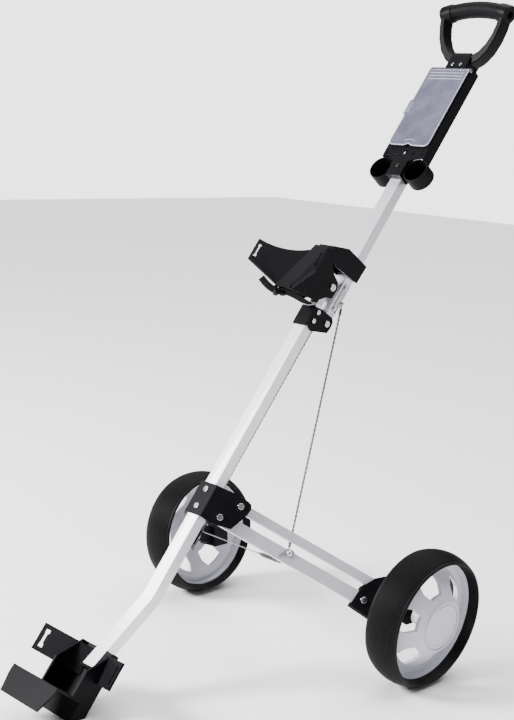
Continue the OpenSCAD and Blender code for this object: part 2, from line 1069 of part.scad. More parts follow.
module pull_wire(side) {
  lower_end = [stud_x, stud_b, clip_s + 6];
  eye = [anchor_x, anchor_b, anchor_s + 0.6];
  color("gray") shaft_frame() on_side(side)
    rod(lower_end, mix(lower_end, eye, 0.975), wire_diameter);
}

module pull_wire_right() {
  pull_wire(1);
}

module pull_wire_left() {
  pull_wire(-1);
}

// the tie stays inside the studs' reach when the legs are folded together
tie_half = 77;
tie_s = 160;
spring_x = [42, 72];

module tie_wire() {
  color("gray") shaft_frame() {
    rod([-tie_half, stud_b, tie_s], [spring_x[0], stud_b, tie_s], 2);
    rod([spring_x[1], stud_b, tie_s], [tie_half, stud_b, tie_s], 2);
  }
}

module tie_spring() {
  color("gray") shaft_frame()
    translate([spring_x[0], stud_b, tie_s])
      rotate([0, 90, 0])
        cylinder(h = spring_x[1] - spring_x[0], d = 7);
}

lower_tube();
foot_body();
foot_toe();
foot_wing_right();
foot_wing_left();
foot_screws();
knuckle_front();
knuckle_rear();
knuckle_rivets();
leg_pins_right();
leg_pins_left();
hinge_bracket();
hinge_rivets();
fold_pin();
cradle_link();
cradle_yoke();
cradle_wing_right();
cradle_wing_left();
cradle_bolt();
tube_clip();
bag_strap();
strap_buckle();
upper_tube();
wire_anchor_right();
wire_anchor_left();
anchor_screws();
console_tray();
console_screws();
ball_cup_right();
ball_cup_left();
lid_pin();
card_lid();
handle_socket();
handle_arm_right();
handle_arm_left();
handle_grip();
socket_screws();
lower_bar_right();
lower_bar_left();
upper_bar_right();
upper_bar_left();
wire_stud_right();
wire_stud_left();
axle_bracket_right();
axle_bracket_left();
bracket_pins_right();
bracket_pins_left();
axle_right();
axle_left();
rim_right();
rim_left();
tyre_right();
tyre_left();
hub_cap_right();
hub_cap_left();
pull_wire_right();
pull_wire_left();
tie_wire();
tie_spring();
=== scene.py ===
import bmesh
import bpy
import json
import math
from mathutils import Matrix, Vector


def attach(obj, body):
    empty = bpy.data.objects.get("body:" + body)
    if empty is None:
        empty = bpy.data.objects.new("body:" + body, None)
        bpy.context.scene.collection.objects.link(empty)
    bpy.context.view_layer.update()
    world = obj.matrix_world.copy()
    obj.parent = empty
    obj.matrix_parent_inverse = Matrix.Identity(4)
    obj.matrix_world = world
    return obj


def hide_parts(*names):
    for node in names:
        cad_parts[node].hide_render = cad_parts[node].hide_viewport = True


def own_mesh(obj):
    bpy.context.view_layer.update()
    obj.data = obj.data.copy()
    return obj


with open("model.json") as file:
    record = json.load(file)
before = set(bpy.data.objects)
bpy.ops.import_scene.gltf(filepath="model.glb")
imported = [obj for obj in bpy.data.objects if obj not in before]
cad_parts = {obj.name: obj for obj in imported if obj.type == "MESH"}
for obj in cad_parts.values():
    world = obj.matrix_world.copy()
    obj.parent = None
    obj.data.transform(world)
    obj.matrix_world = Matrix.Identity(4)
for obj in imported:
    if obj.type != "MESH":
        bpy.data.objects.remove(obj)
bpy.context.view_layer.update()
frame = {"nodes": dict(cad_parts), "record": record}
joints = {j["name"]: j for j in frame["record"]["behaviour"]["joints"]}

# ---- frames, in metres, from the part's own joints ----

LEAN = math.radians(37.2)
SPLAY = math.radians(48.5)
HANDLE_TILT = math.radians(22)
MM = 0.001
# the fold pin and the handle's root, behind and up the shaft from the tube's bend
FOLD_B, FOLD_S = 32.5, 563.5
HANDLE_B, HANDLE_S = 34, 1150
# crease of the knuckle, where a leg's own frame starts
CREASE_X, CREASE_B = 14.4, -6
back = Vector((0, math.cos(LEAN), -math.sin(LEAN)))
up = Vector((0, math.sin(LEAN), math.cos(LEAN)))
fold_point = Vector(joints["handle_fold"]["pos_m"])
shaft_origin = fold_point - FOLD_B * MM * back - FOLD_S * MM * up


def columns(x, y, z, origin):
    m = Matrix.Identity(4)
    for i in range(3):
        m[i][0], m[i][1], m[i][2], m[i][3] = x[i], y[i], z[i], origin[i]
    return m


SHAFT = columns(Vector((1, 0, 0)), back, up, shaft_origin)


def leg_matrix(side):
    """x outward along the leg, y to the back of the bars, z up the shaft."""
    out = side * math.cos(SPLAY) * Vector((1, 0, 0)) + math.sin(SPLAY) * back
    rear = -side * math.sin(SPLAY) * Vector((1, 0, 0)) + math.cos(SPLAY) * back
    origin = SHAFT @ (Vector((side * CREASE_X, CREASE_B, 0)) * MM)
    return columns(out, rear, up, origin)


def wheel_matrix(side):
    """x outward along the axle, from the middle of the tyre."""
    name = "right" if side > 0 else "left"
    spin = joints["wheel_spin_" + name]
    axis = Vector(spin["axis"]).normalized() * side
    fore = Vector((0, 1, 0))
    return columns(axis, fore, axis.cross(fore) * side, Vector(spin["pos_m"]))


def handle_matrix():
    tilt = LEAN - HANDLE_TILT
    y = Vector((0, math.cos(tilt), -math.sin(tilt)))
    z = Vector((0, math.sin(tilt), math.cos(tilt)))
    return columns(Vector((1, 0, 0)), y, z, SHAFT @ (Vector((0, HANDLE_B, HANDLE_S)) * MM))


# ---- node materials ----


class Nodes:
    """A material under construction: its node tree and shader."""

    def __init__(self, name):
        self.material = bpy.data.materials.new(name)
        self.material.use_nodes = True
        self.tree = self.material.node_tree
        self.shader = next(n for n in self.tree.nodes if n.type == "BSDF_PRINCIPLED")
        self.coords = self.tree.nodes.new("ShaderNodeTexCoord")

    def add(self, kind, **values):
        node = self.tree.nodes.new(kind)
        for key, value in values.items():
            setattr(node, key, value)
        return node

    def link(self, a, b):
        self.tree.links.new(a, b)

    def mapped(self, scale=(1, 1, 1), rotation=(0, 0, 0)):
        mapping = self.add("ShaderNodeMapping")
        mapping.inputs["Scale"].default_value = scale
        mapping.inputs["Rotation"].default_value = rotation
        self.link(self.coords.outputs["Object"], mapping.inputs["Vector"])
        return mapping.outputs["Vector"]

    def noise(self, vector, scale, detail=4.0, roughness=0.55):
        node = self.add("ShaderNodeTexNoise")
        node.inputs["Scale"].default_value = scale
        node.inputs["Detail"].default_value = detail
        node.inputs["Roughness"].default_value = roughness
        self.link(vector, node.inputs["Vector"])
        return node.outputs["Fac"]

    def spread(self, fac, low, high, start=0.3, end=0.7):
        node = self.add("ShaderNodeMapRange")
        node.inputs["From Min"].default_value = start
        node.inputs["From Max"].default_value = end
        node.inputs["To Min"].default_value = low
        node.inputs["To Max"].default_value = high
        self.link(fac, node.inputs["Value"])
        return node.outputs["Result"]

    def colours(self, fac, low, high, start=0.3, end=0.7):
        node = self.add("ShaderNodeValToRGB")
        node.color_ramp.elements[0].position = start
        node.color_ramp.elements[1].position = end
        node.color_ramp.elements[0].color = (*low, 1)
        node.color_ramp.elements[1].color = (*high, 1)
        self.link(fac, node.inputs["Fac"])
        return node.outputs["Color"]

    def bump(self, height, strength, distance, normal=None):
        node = self.add("ShaderNodeBump")
        node.inputs["Strength"].default_value = strength
        node.inputs["Distance"].default_value = distance
        self.link(height, node.inputs["Height"])
        if normal is not None:
            self.link(normal, node.inputs["Normal"])
        return node.outputs["Normal"]

    def set(self, **values):
        names = {
            "rough": "Roughness",
            "metal": "Metallic",
            "colour": "Base Color",
            "alpha": "Alpha",
            "ior": "IOR",
            "specular": "Specular IOR Level",
            "coat": "Coat Weight",
            "coat_rough": "Coat Roughness",
            "sheen": "Sheen Weight",
            "sheen_rough": "Sheen Roughness",
            "transmission": "Transmission Weight",
            "anisotropic": "Anisotropic",
            "normal": "Normal",
        }
        for key, value in values.items():
            socket = self.shader.inputs[names[key]]
            if isinstance(value, bpy.types.NodeSocket):
                self.link(value, socket)
            elif key == "colour":
                socket.default_value = (*value, 1)
            else:
                socket.default_value = value
        return self.material


def moulded(name, low, high, rough, grain=900, depth=0.00006, specular=0.06):
    """Moulded plastic: a fine spark texture, with a little wear in tone and gloss."""
    n = Nodes(name)
    v = n.mapped()
    fine = n.noise(v, grain, 3)
    broad = n.noise(v, 14, 5)
    scuff = n.noise(n.mapped((60, 9, 240)), 6, 6, 0.7)
    normal = n.bump(fine, 0.45, depth)
    normal = n.bump(scuff, 0.12, 0.0001, normal)
    return n.set(
        colour=n.colours(broad, low, high),
        rough=n.spread(broad, rough - 0.06, rough + 0.08),
        specular=specular,
        normal=normal,
    )


def brushed(name, low, high, rough, grain=(500, 6, 6), rotation=(0, 0, 0), metal=1.0):
    """Drawn or brushed metal: fine streaks along the piece, and soft smudges."""
    n = Nodes(name)
    streaks = n.noise(n.mapped(grain, rotation), 1.0, 4, 0.6)
    smudge = n.noise(n.mapped(), 11, 6, 0.6)
    normal = n.bump(streaks, 0.10, 0.00012)
    return n.set(
        colour=n.colours(smudge, low, high),
        rough=n.spread(streaks, rough - 0.05, rough + 0.07),
        metal=metal,
        normal=normal,
    )


# the shaft's streaks run along the shaft, those of a leg along its bars
SHAFT_TURN = (LEAN, 0, 0)
M = {
    "tube": brushed("tube_anodised", (0.68, 0.68, 0.73), (0.78, 0.78, 0.83), 0.40,
                    (900, 900, 8), SHAFT_TURN, 0.95),
    # the bars use the tube's anodised finish made darker and less metallic: painted shade for
    # their downward faces
    "bar": brushed("bar_anodised_painted_shade", (0.60, 0.60, 0.65), (0.69, 0.69, 0.74), 0.44,
                   (20, 20, 900), SHAFT_TURN, 0.7),
    "bracket": moulded("bracket_moulded", (0.0022, 0.0022, 0.003), (0.005, 0.005, 0.0065), 0.46),
    "console": moulded("console_moulded", (0.0022, 0.0022, 0.003), (0.005, 0.005, 0.006), 0.46),
    "handle_moulding": moulded("handle_moulded", (0.002, 0.002, 0.0026),
                               (0.0045, 0.0045, 0.0055), 0.40),
    "steel": brushed("steel_polished", (0.42, 0.42, 0.43), (0.55, 0.55, 0.55), 0.18,
                     (90, 90, 90)),
    "black_steel": brushed("steel_blackened", (0.03, 0.03, 0.034), (0.06, 0.06, 0.065), 0.34,
                           (90, 90, 90)),
    "link": brushed("link_cast", (0.40, 0.41, 0.42), (0.55, 0.56, 0.57), 0.36, (60, 60, 60)),
    "wire": brushed("wire_drawn", (0.10, 0.10, 0.105), (0.24, 0.24, 0.25), 0.36, (200, 200, 20)),
    "buckle": moulded("buckle_moulded", (0.010, 0.010, 0.011), (0.02, 0.02, 0.021), 0.3, 500),
}


def white_plastic():
    n = Nodes("rim_moulded")
    v = n.mapped()
    broad = n.noise(v, 9, 5)
    fine = n.noise(v, 700, 2)
    normal = n.bump(fine, 0.2, 0.00004)
    return n.set(
        colour=n.colours(broad, (0.52, 0.52, 0.58), (0.60, 0.60, 0.66)),
        rough=n.spread(broad, 0.38, 0.5),
        specular=0.5,
        normal=normal,
    )


def tyre_rubber():
    n = Nodes("tyre_rubber")
    v = n.mapped()
    broad = n.noise(v, 16, 6, 0.65)
    fine = n.noise(v, 1400, 3)
    normal = n.bump(fine, 0.5, 0.00008)
    return n.set(
        colour=n.colours(broad, (0.002, 0.002, 0.0024), (0.005, 0.005, 0.0055)),
        rough=n.spread(broad, 0.42, 0.56),
        specular=0.1,
        normal=normal,
    )


def foam():
    n = Nodes("grip_foam")
    v = n.mapped()
    cells = n.add("ShaderNodeTexVoronoi")
    cells.inputs["Scale"].default_value = 1100
    n.link(v, cells.inputs["Vector"])
    broad = n.noise(v, 20, 5)
    normal = n.bump(cells.outputs["Distance"], 0.5, 0.00012)
    return n.set(
        colour=n.colours(broad, (0.0015, 0.0015, 0.002), (0.004, 0.004, 0.005)),
        rough=n.spread(broad, 0.5, 0.62),
        specular=0.07,
        normal=normal,
    )


def smoked_lid():
    n = Nodes("lid_clear")
    v = n.mapped()
    broad = n.noise(v, 30, 5)
    fine = n.noise(v, 600, 3)
    normal = n.bump(fine, 0.12, 0.00005)
    return n.set(
        colour=n.colours(broad, (0.085, 0.085, 0.125), (0.12, 0.12, 0.17)),
        rough=n.spread(broad, 0.2, 0.32),
        alpha=0.86,
        specular=0.6,
        normal=normal,
    )


def webbing():
    n = Nodes("strap_webbing")
    weave = n.add("ShaderNodeTexWave", wave_type="BANDS", bands_direction="DIAGONAL")
    weave.inputs["Scale"].default_value = 420
    weave.inputs["Distortion"].default_value = 1.5
    n.link(n.mapped(), weave.inputs["Vector"])
    threads = n.noise(n.mapped((900, 300, 900)), 1.0, 3)
    broad = n.noise(n.mapped(), 40, 4)
    normal = n.bump(weave.outputs["Fac"], 0.5, 0.0002)
    normal = n.bump(threads, 0.3, 0.0001, normal)
    return n.set(
        colour=n.colours(broad, (0.005, 0.005, 0.006), (0.014, 0.014, 0.015)),
        rough=n.spread(threads, 0.62, 0.85),
        specular=0.1,
        normal=normal,
    )


# the lid's bead, ribs and thumb ridge are far paler than the smoked lid: a painted highlight along
# its edges and top
M["lid_bead_painted_highlight"] = moulded("lid_bead_painted_highlight", (0.30, 0.30, 0.37), (0.42, 0.42, 0.50), 0.28, 500,
                        0.00003, 0.5)
M["rim"] = white_plastic()
M["tyre"] = tyre_rubber()
M["grip"] = foam()
M["lid"] = smoked_lid()
M["strap"] = webbing()

# ---- mesh making ----


def finish_mesh(obj, angle=35, weighted=True):
    """Smooth faces, creased at edges sharper than the angle."""
    mesh = obj.data
    bm = bmesh.new()
    bm.from_mesh(mesh)
    for f in bm.faces:
        f.smooth = True
    limit = math.radians(angle)
    for e in bm.edges:
        e.smooth = not (len(e.link_faces) == 2 and e.calc_face_angle(0) > limit)
    bm.to_mesh(mesh)
    bm.free()
    if weighted:
        w = obj.modifiers.new("weighted", "WEIGHTED_NORMAL")
        w.keep_sharp = True
        w.mode = "FACE_AREA_WITH_ANGLE"
    return obj


def piece(name, verts, faces, body, material, matrix=SHAFT, replaces=(),
          angle=35, weighted=True):
    """A new mesh piece, its points given in mm in the frame of the matrix."""
    mesh = bpy.data.meshes.new(name)
    points = [matrix @ (Vector(v) * MM) for v in verts]
    mesh.from_pydata(points, [], faces)
    mesh.validate()
    bm = bmesh.new()
    bm.from_mesh(mesh)
    bmesh.ops.recalc_face_normals(bm, faces=bm.faces)
    bm.to_mesh(mesh)
    bm.free()
    obj = bpy.data.objects.new(name, mesh)
    bpy.context.scene.collection.objects.link(obj)
    mesh.materials.append(M[material])
    finish_mesh(obj, angle, weighted)
    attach(obj, body)
    if replaces:
        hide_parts(*replaces)
    return obj


def body_of_node(node):
    for body, nodes in frame["record"]["behaviour"]["bodies"].items():
        if node in nodes:
            return body
    raise ValueError(node)


def rounded(node, width, material, segments=2, angle=35):
    """The CAD node's shape with its sharp edges rounded, in its place."""
    source = frame["nodes"][node]
    mesh = source.data.copy()
    obj = bpy.data.objects.new(node + "_shape", mesh)
    bpy.context.scene.collection.objects.link(obj)
    obj.matrix_world = source.matrix_world.copy()
    mesh.materials.clear()
    mesh.materials.append(M[material])
    bm = bmesh.new()
    bm.from_mesh(mesh)
    bmesh.ops.remove_doubles(bm, verts=bm.verts, dist=2e-6)
    bmesh.ops.dissolve_limit(bm, angle_limit=math.radians(0.6), verts=bm.verts,
                             edges=bm.edges)
    bm.to_mesh(mesh)
    bm.free()
    bevel = obj.modifiers.new("round", "BEVEL")
    bevel.width = width * MM
    bevel.segments = segments
    bevel.limit_method = "ANGLE"
    bevel.angle_limit = math.radians(angle)
    bevel.use_clamp_overlap = True
    graph = bpy.context.evaluated_depsgraph_get()
    made = bpy.data.meshes.new_from_object(obj.evaluated_get(graph))
    obj.modifiers.clear()
    obj.data = made
    made.name = obj.name
    finish_mesh(obj, 40)
    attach(obj, body_of_node(node))
    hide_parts(node)
    return obj


def lathe(profile, steps=96):
    """A closed outline of points (radius, x) turned about the x axis."""
    verts, faces = [], []
    n = len(profile)
    for i in range(steps):
        a = 2 * math.pi * i / steps
        for r, x in profile:
            verts.append((x, r * math.cos(a), r * math.sin(a)))
    for i in range(steps):
        j = (i + 1) % steps
        for k in range(n):
            q = (k + 1) % n
            faces.append((i * n + k, i * n + q, j * n + q, j * n + k))
    return verts, faces


def frames_along(points):
    """A tangent, normal and binormal at each point, carried along without twist."""
    pts = [Vector(p) for p in points]
    out = []
    normal = None
    for i, p in enumerate(pts):
        t = (pts[min(i + 1, len(pts) - 1)] - pts[max(i - 1, 0)]).normalized()
        if normal is None:
            seed = Vector((0, 0, 1)) if abs(t.z) < 0.9 else Vector((1, 0, 0))
            normal = (seed - t * seed.dot(t)).normalized()
        else:
            normal = (normal - t * normal.dot(t)).normalized()
        out.append((p, t, normal, t.cross(normal)))
    return out


def tube_along(points, radius, sides=12):
    """A capped tube of one radius along the points."""
    verts, faces = [], []
    rows = frames_along(points)
    for p, t, n, b in rows:
        for k in range(sides):
            a = 2 * math.pi * k / sides
            verts.append(tuple(p + radius * (math.cos(a) * n + math.sin(a) * b)))
    for i in range(len(rows) - 1):
        for k in range(sides):
            q = (k + 1) % sides
            faces.append((i * sides + k, i * sides + q, (i + 1) * sides + q,
                          (i + 1) * sides + k))
    faces.append(tuple(range(sides - 1, -1, -1)))
    faces.append(tuple((len(rows) - 1) * sides + k for k in range(sides)))
    return verts, faces


def rope(points, strands, strand_radius, offset, pitch, sides=8):
    """Twisted strands round a line of closely spaced points."""
    verts, faces = [], []
    rows = frames_along(points)
    for s in range(strands):
        path, run = [], 0.0
        for i, (p, t, n, b) in enumerate(rows):
            if i:
                run += (p - rows[i - 1][0]).length
            a = 2 * math.pi * (run / pitch + s / strands)
            path.append(p + offset * (math.cos(a) * n + math.sin(a) * b))
        v, f = tube_along(path, strand_radius, sides)
        base = len(verts)
        verts += v
        faces += [tuple(base + k for k in face) for face in f]
    return verts, faces


def join(*parts):
    """Several (verts, faces) pairs as one."""
    verts, faces = [], []
    for v, f in parts:
        base = len(verts)
        verts += list(v)
        faces += [tuple(base + k for k in face) for face in f]
    return verts, faces


def line(a, b, step):
    """Evenly spaced points from a to b."""
    a, b = Vector(a), Vector(b)
    count = max(2, int((b - a).length / step) + 1)
    return [a.lerp(b, i / (count - 1)) for i in range(count)]


def smooth_path(points, per=8):
    """A Catmull-Rom curve through the points."""
    p = [Vector(q) for q in points]
    p = [2 * p[0] - p[1]] + p + [2 * p[-1] - p[-2]]
    out = []
    for i in range(1, len(p) - 2):
        for k in range(per):
            t = k / per
            out.append(0.5 * ((2 * p[i]) + (-p[i - 1] + p[i + 1]) * t
                              + (2 * p[i - 1] - 5 * p[i] + 4 * p[i + 1] - p[i + 2]) * t * t
                              + (-p[i - 1] + 3 * p[i] - 3 * p[i + 1] + p[i + 2]) * t ** 3))
    out.append(p[-2])
    return out


def ribbon(points, across, width, thickness):
    """A flat strap along the points. across gives its width direction at each point."""
    verts, faces = [], []
    pts = [Vector(p) for p in points]
    for i, p in enumerate(pts):
        t = (pts[min(i + 1, len(pts) - 1)] - pts[max(i - 1, 0)]).normalized()
        w = Vector(across[i])
        w = (w - t * w.dot(t)).normalized()
        n = t.cross(w)
        h, q = width / 2, thickness / 2
        ring = [(-h, -q * 0.6), (-h + 0.6, -q), (h - 0.6, -q), (h, -q * 0.6),
                (h, q * 0.6), (h - 0.6, q), (-h + 0.6, q), (-h, q * 0.6)]
        for u, v in ring:
            verts.append(tuple(p + u * w + v * n))
    m = 8
    for i in range(len(pts) - 1):
        for k in range(m):
            q = (k + 1) % m
            faces.append((i * m + k, i * m + q, (i + 1) * m + q, (i + 1) * m + k))
    faces.append(tuple(range(m - 1, -1, -1)))
    faces.append(tuple((len(pts) - 1) * m + k for k in range(m)))
    return verts, faces


# ---- shaft and legs ----

rounded("lower_tube", 2.2, "tube", segments=3)
rounded("upper_tube", 2.2, "tube", segments=3)
for side in ("right", "left"):
    rounded("lower_bar_" + side, 1.6, "bar", segments=3)
    rounded("upper_bar_" + side, 1.6, "bar", segments=3)

# ---- brackets ----

for node, width in (
    ("knuckle_front", 0.9), ("knuckle_rear", 0.9), ("hinge_bracket", 0.9),
    ("foot_body", 1.3), ("foot_toe", 1.3), ("foot_wing_right", 1.4),
    ("foot_wing_left", 1.4), ("cradle_yoke", 1.2), ("cradle_wing_right", 1.3),
    ("cradle_wing_left", 1.3), ("tube_clip", 1.2), ("axle_bracket_right", 1.2),
    ("axle_bracket_left", 1.2),
):
    rounded(node, width, "bracket")
for node in ("console_tray", "ball_cup_right", "ball_cup_left"):
    rounded(node, 0.9, "console")
for node in ("handle_socket", "handle_arm_right", "handle_arm_left"):
    rounded(node, 2.5, "handle_moulding", segments=3)
for node, width in (
    ("foot_screws", 0.9), ("knuckle_rivets", 0.95), ("leg_pins_right", 0.95),
    ("leg_pins_left", 0.95), ("hinge_rivets", 0.9), ("fold_pin", 0.9),
    ("cradle_bolt", 1.1), ("bracket_pins_right", 0.95), ("bracket_pins_left", 0.95),
    ("wire_stud_right", 0.6), ("wire_stud_left", 0.6), ("axle_right", 0.8),
    ("axle_left", 0.8), ("anchor_screws", 0.8), ("socket_screws", 0.8),
    ("lid_pin", 0.5),
):
    rounded(node, width, "steel", segments=3)
rounded("console_screws", 0.8, "black_steel", segments=3)
for node in ("cradle_link", "wire_anchor_right", "wire_anchor_left"):
    rounded(node, 0.5, "link")

# ---- card lid ----

LID_FRONT, LID_BACK = 6.0, 8.0
LID_HALF, LID_LOW, LID_TOP = 45, 937, 1114
LID_PIN = (8.6, 1114.5)


def lid_outline():
    """Clockwise from the top left, as (x, s), seen from the front."""
    tab = [(-LID_HALF, 1041), (-LID_HALF - 3.5, 1040), (-LID_HALF - 5, 1037),
           (-LID_HALF - 5, 1009), (-LID_HALF - 3.5, 1006), (-LID_HALF, 1004.5)]
    left, low_right = [], []
    r = 9
    for i in range(9):
        a = math.radians(180 + 90 * i / 8)
        left.append((-LID_HALF + r + r * math.cos(a), LID_LOW + r + r * math.sin(a)))
    for i in range(9):
        a = math.radians(270 + 90 * i / 8)
        low_right.append((LID_HALF - r + r * math.cos(a), LID_LOW + r + r * math.sin(a)))
    notch = []
    for i in range(13):
        x = -11 + 22 * i / 12
        notch.append((x, LID_LOW + 2.0 * (1 + math.cos(math.pi * x / 11))))
    return [(-LID_HALF, LID_TOP)] + tab + left + notch + low_right + [(LID_HALF, LID_TOP)]


def slab(outline, front, rear):
    n = len(outline)
    verts = [(x, front, z) for x, z in outline] + [(x, rear, z) for x, z in outline]
    faces = [tuple(range(n)), tuple(range(2 * n - 1, n - 1, -1))]
    faces += [(k, (k + 1) % n, (k + 1) % n + n, k + n) for k in range(n)]
    return verts, faces


def lid_sheet():
    roll = tube_along(line((-LID_HALF, *LID_PIN), (LID_HALF, *LID_PIN), 10), 3.0, 24)
    return join(slab(lid_outline(), LID_FRONT, LID_BACK), roll)


def lid_beads():
    """Raised bead round the lid, ribs below its hinge and a thumb ridge, all in a pale colour that
    is a painted highlight.
    """
    edge = [(x, LID_FRONT - 0.1, z) for x, z in lid_outline()]
    parts = [tube_along(edge, 1.15, 10)]
    for z in (1092, 1099, 1106):
        parts.append(tube_along(line((-39, LID_FRONT, z), (39, LID_FRONT, z), 6), 0.55, 8))
    thumb = []
    for i in range(15):
        a = math.radians(20 + 140 * i / 14)
        thumb.append((13 * math.cos(a), LID_FRONT, 944 + 6 * math.sin(a)))
    parts.append(tube_along(thumb, 0.55, 8))
    for z in (1013, 1018, 1023, 1028, 1033):
        a, b = (-LID_HALF - 3.8, LID_FRONT, z), (-LID_HALF + 5, LID_FRONT, z)
        parts.append(tube_along(line(a, b, 2), 0.5, 8))
    return join(*parts)


v, f = lid_sheet()
piece("card_lid_sheet", v, f, "lid", "lid", SHAFT, ["card_lid"], angle=40)
v, f = lid_beads()
piece("card_lid_bead_painted_highlight", v, f, "lid", "lid_bead_painted_highlight", SHAFT, angle=60, weighted=False)

# ---- wheels ----

WHEEL_R = 118
RIM_R = 103
CROWN = 65
TYRE_SHIFT = -6
HUB_OUTER = 32


def tyre_profile():
    """Outer section of the tyre with its fine rings, as (radius, x)."""
    ribs, per = 17, 6
    limit = 28.5
    tread = []
    for i in range(ribs * per + 1):
        x = -limit + 2 * limit * i / (ribs * per)
        r = WHEEL_R - CROWN + math.sqrt(CROWN * CROWN - x * x)
        drop = {0: 1.5, 1: 0.45, 2: 0.0, 3: 0.0, 4: 0.0, 5: 0.45}[i % per]
        tread.append((r - drop, x))
    shoulder = []
    for i in range(1, 9):
        a = math.radians(62 - i * 80 / 8)
        shoulder.append((106.6 + 4.2 * math.sin(a), 28.8 + 4.2 * math.cos(a)))
    # the side wall slopes in to the rim with three shallow steps
    wall = [(105.2, 32.4), (105.0, 30.2), (104.4, 29.6), (104.4, 24.4), (103.8, 23.8),
            (103.8, 18.2), (103.2, 17.6), (103.0, 15.0)]
    half = shoulder + wall
    inner = [(RIM_R - 0.6, 14.2), (RIM_R - 0.6, -14.2)]
    mirrored = [(r, -x) for r, x in reversed(half)]
    return [(r, x + TYRE_SHIFT) for r, x in tread + half + inner + mirrored]


for side, sign in (("right", 1), ("left", -1)):
    matrix = wheel_matrix(sign)
    body = "wheel_" + side
    v, f = lathe(tyre_profile(), 144)
    piece("tyre_" + side + "_ribbed", v, f, body, "tyre", matrix,
          ["tyre_" + side], angle=50, weighted=False)
    rounded("rim_" + side, 1.4, "rim", segments=3)
    # flat disc of the hub inside a raised bead
    cap = [(0.01, 33.0), (31.6, 32.9), (32.6, 33.1), (33.6, 34.0), (35.0, 34.5), (36.4, 34.5),
           (37.8, 34.0), (38.9, 33.1), (39.6, HUB_OUTER + 0.05), (0.01, HUB_OUTER + 0.05)]
    v, f = lathe(cap, 96)
    piece("hub_cap_" + side + "_disc", v, f, body, "rim", matrix,
          ["hub_cap_" + side], angle=30)

# ---- handle grip ----

HANDLE = handle_matrix()
BOW = 250
BOW_Z = 106 - BOW
GRIP_HALF = 72
GRIP_R = 15.5
GRIP_STEPS = 60


def on_bow(a):
    """A point of the grip's curved middle line."""
    return Vector((BOW * math.sin(a), 0, BOW_Z + BOW * math.cos(a)))


def grip():
    """A foam sleeve over a tube, rounded at its open ends."""
    sides, mouth, deep, rounding = 40, 8.5, 9, 4.0
    half = math.asin(GRIP_HALF / BOW)
    verts, faces = [], []
    middle = frames_along(on_bow(-half + 2 * half * i / GRIP_STEPS)
                          for i in range(GRIP_STEPS + 1))
    rings = []
    for i, (p, t, n, b) in enumerate(middle):
        edge = min(i, GRIP_STEPS - i) * (2 * half * BOW / GRIP_STEPS)
        r = GRIP_R - (3.2 * (1 - edge / rounding) ** 2 if edge < rounding else 0)
        rings.append((p, n, b, r))
    # hollow ends
    p0, t0, n0, b0 = middle[0]
    p1, t1, n1, b1 = middle[-1]
    ordered = [(p0 + deep * t0, n0, b0, mouth - 0.5), (p0, n0, b0, mouth)]
    ordered += rings + [(p1, n1, b1, mouth), (p1 - deep * t1, n1, b1, mouth - 0.5)]
    for p, n, b, r in ordered:
        for k in range(sides):
            a = 2 * math.pi * k / sides
            verts.append(tuple(p + r * (math.cos(a) * n + math.sin(a) * b)))
    for i in range(len(ordered) - 1):
        for k in range(sides):
            q = (k + 1) % sides
            faces.append((i * sides + k, i * sides + q, (i + 1) * sides + q,
                          (i + 1) * sides + k))
    faces.append(tuple(range(sides - 1, -1, -1)))
    faces.append(tuple((len(ordered) - 1) * sides + k for k in range(sides)))
    return verts, faces


def collar(side):
    """Moulded socket at the top of an arm, round the end of the grip."""
    sides, inner = 20, 7.5
    stations = [(52, 15.6), (53.5, 17.4), (60, 18.0), (73.5, 18.0), (76.5, 16.2)]
    rings = []
    for distance, r in stations:
        a = side * math.asin(distance / BOW)
        t = Vector((math.cos(a), 0, -math.sin(a))) * side
        rings.append((on_bow(a), t, r))
    end, t_end = rings[-1][:2]
    rings += [(end, t_end, inner), (end - 7 * t_end, t_end, inner - 0.5)]
    verts, faces = [], []
    for p, t, r in rings:
        n = Vector((0, 1, 0))
        b = t.cross(n)
        for k in range(sides):
            a = 2 * math.pi * (k + 0.5) / sides
            verts.append(tuple(p + r * (math.cos(a) * n + math.sin(a) * b)))
    for i in range(len(rings) - 1):
        for k in range(sides):
            q = (k + 1) % sides
            faces.append((i * sides + k, i * sides + q, (i + 1) * sides + q,
                          (i + 1) * sides + k))
    faces.append(tuple(range(sides - 1, -1, -1)))
    faces.append(tuple((len(rings) - 1) * sides + k for k in range(sides)))
    return verts, faces


for side, sign in (("right", 1), ("left", -1)):
    v, f = collar(sign)
    piece("grip_collar_" + side, v, f, "handle", "handle_moulding", HANDLE, angle=40)

v, f = grip()
piece("handle_grip_foam", v, f, "handle", "grip", HANDLE, ["handle_grip"], angle=50)

# ---- wires ----

STUD_E, STUD_S, STUD_Y = 159, 176, 20
EYE = (17, 41, 609.6)
FERRULE_R = 2.4


def stud_point(side):
    leg = leg_matrix(side)
    world = leg @ (Vector((STUD_E, STUD_Y, STUD_S)) * MM)
    return (SHAFT.inverted() @ world) / MM


